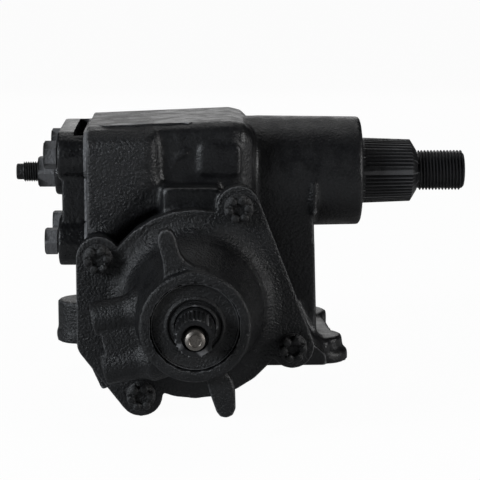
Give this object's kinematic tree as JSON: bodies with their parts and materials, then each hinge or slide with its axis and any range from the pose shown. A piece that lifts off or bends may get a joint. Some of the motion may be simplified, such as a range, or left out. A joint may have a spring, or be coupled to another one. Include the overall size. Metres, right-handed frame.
{
  "type": "steering gearbox",
  "caption": "Recirculating ball power steering gear: worm, toothed rack piston and sector shaft in a cast housing, with a rotary valve and serrated input shaft.",
  "frame": {"origin": "on the plane of the mounting feet, straight under the crossing of the worm axis and the sector shaft axis", "axes": "+X towards the serrated end of the sector shaft, +Y towards the rear end plug of the worm cylinder, +Z away from the mounting plane"},
  "size_m": [0.2482, 0.256, 0.1529],
  "materials": {
    "black_casting": "satin black paint on fine cast iron",
    "black_fastener": "satin black paint on steel",
    "black_shaft": "satin black paint on machined steel",
    "ground_steel": "ground",
    "bright_steel": "polished",
    "bronze": "plain",
    "seal_rubber": "matt",
    "seal_polymer": "matt"
  },
  "bodies": {
    "castings": {"gear_housing": "black_casting", "valve_housing": "black_casting", "side_cover": "black_casting", "side_cover_gasket": "seal_rubber", "side_cover_bolt_1": "black_fastener", "side_cover_bolt_2": "black_fastener", "side_cover_bolt_3": "black_fastener", "side_cover_bolt_4": "black_fastener", "valve_housing_bolt_1": "black_fastener", "valve_housing_bolt_2": "black_fastener", "valve_housing_bolt_3": "black_fastener", "valve_housing_bolt_4": "black_fastener", "lash_adjuster_screw": "black_fastener", "adjuster_jam_nut": "black_fastener", "port_seat_1": "bronze", "port_seat_2": "bronze", "side_cover_bush": "bronze", "sector_bearing_inner": "bright_steel", "sector_bearing_outer": "bright_steel", "sector_oil_seal": "seal_rubber", "sector_dust_seal": "seal_rubber", "sector_retaining_ring": "ground_steel", "end_plug": "black_casting", "end_plug_oring": "seal_rubber", "end_plug_ring": "ground_steel", "bearing_nut": "ground_steel", "rear_thrust_bearing": "bright_steel", "front_thrust_bearing": "bright_steel", "input_bearing": "bright_steel", "input_oil_seal": "seal_rubber", "input_dust_seal": "black_shaft"},
    "worm": {"worm_shaft": "ground_steel", "valve_sleeve": "ground_steel", "sleeve_ring_1": "seal_polymer", "sleeve_ring_2": "seal_polymer", "sleeve_ring_3": "seal_polymer"},
    "input": {"input_shaft": "black_shaft", "torsion_bar": "bright_steel", "drive_pin": "ground_steel"},
    "rack": {"rack_piston": "ground_steel", "rack_piston_ring": "seal_polymer", "rack_piston_plug": "ground_steel", "ball_return_guide": "bright_steel", "guide_clamp": "ground_steel", "guide_clamp_screw_1": "ground_steel", "guide_clamp_screw_2": "ground_steel", "ball_01": "bright_steel", "ball_02": "bright_steel", "ball_03": "bright_steel", "ball_04": "bright_steel", "ball_05": "bright_steel", "ball_06": "bright_steel", "ball_07": "bright_steel", "ball_08": "bright_steel", "ball_09": "bright_steel", "ball_10": "bright_steel", "ball_11": "bright_steel", "ball_12": "bright_steel"},
    "sector": {"sector_shaft": "black_shaft"}
  },
  "joints": [
    {"name": "worm_turn", "type": "hinge", "parent": "castings", "child": "worm", "pos_m": [0, 0, 0.043], "axis": [0, 1, 0], "range_deg": [-640, 640]},
    {"name": "valve_twist", "type": "hinge", "parent": "worm", "child": "input", "pos_m": [0, 0, 0.043], "axis": [0, 1, 0], "range_deg": [-7, 7], "stiffness_Nm_per_rad": 80},
    {"name": "rack_slide", "type": "slide", "parent": "castings", "child": "rack", "axis": [0, 1, 0], "range_m": [-0.0222, 0.0222]},
    {"name": "sector_turn", "type": "hinge", "parent": "castings", "child": "sector", "pos_m": [0, 0, 0.104], "axis": [1, 0, 0], "range_deg": [-40, 40]}
  ],
  "couplings": [
    {"joint": "worm_turn", "follows": "rack_slide", "rad_per_m": 500},
    {"joint": "sector_turn", "follows": "rack_slide", "rad_per_m": 31.25}
  ]
}
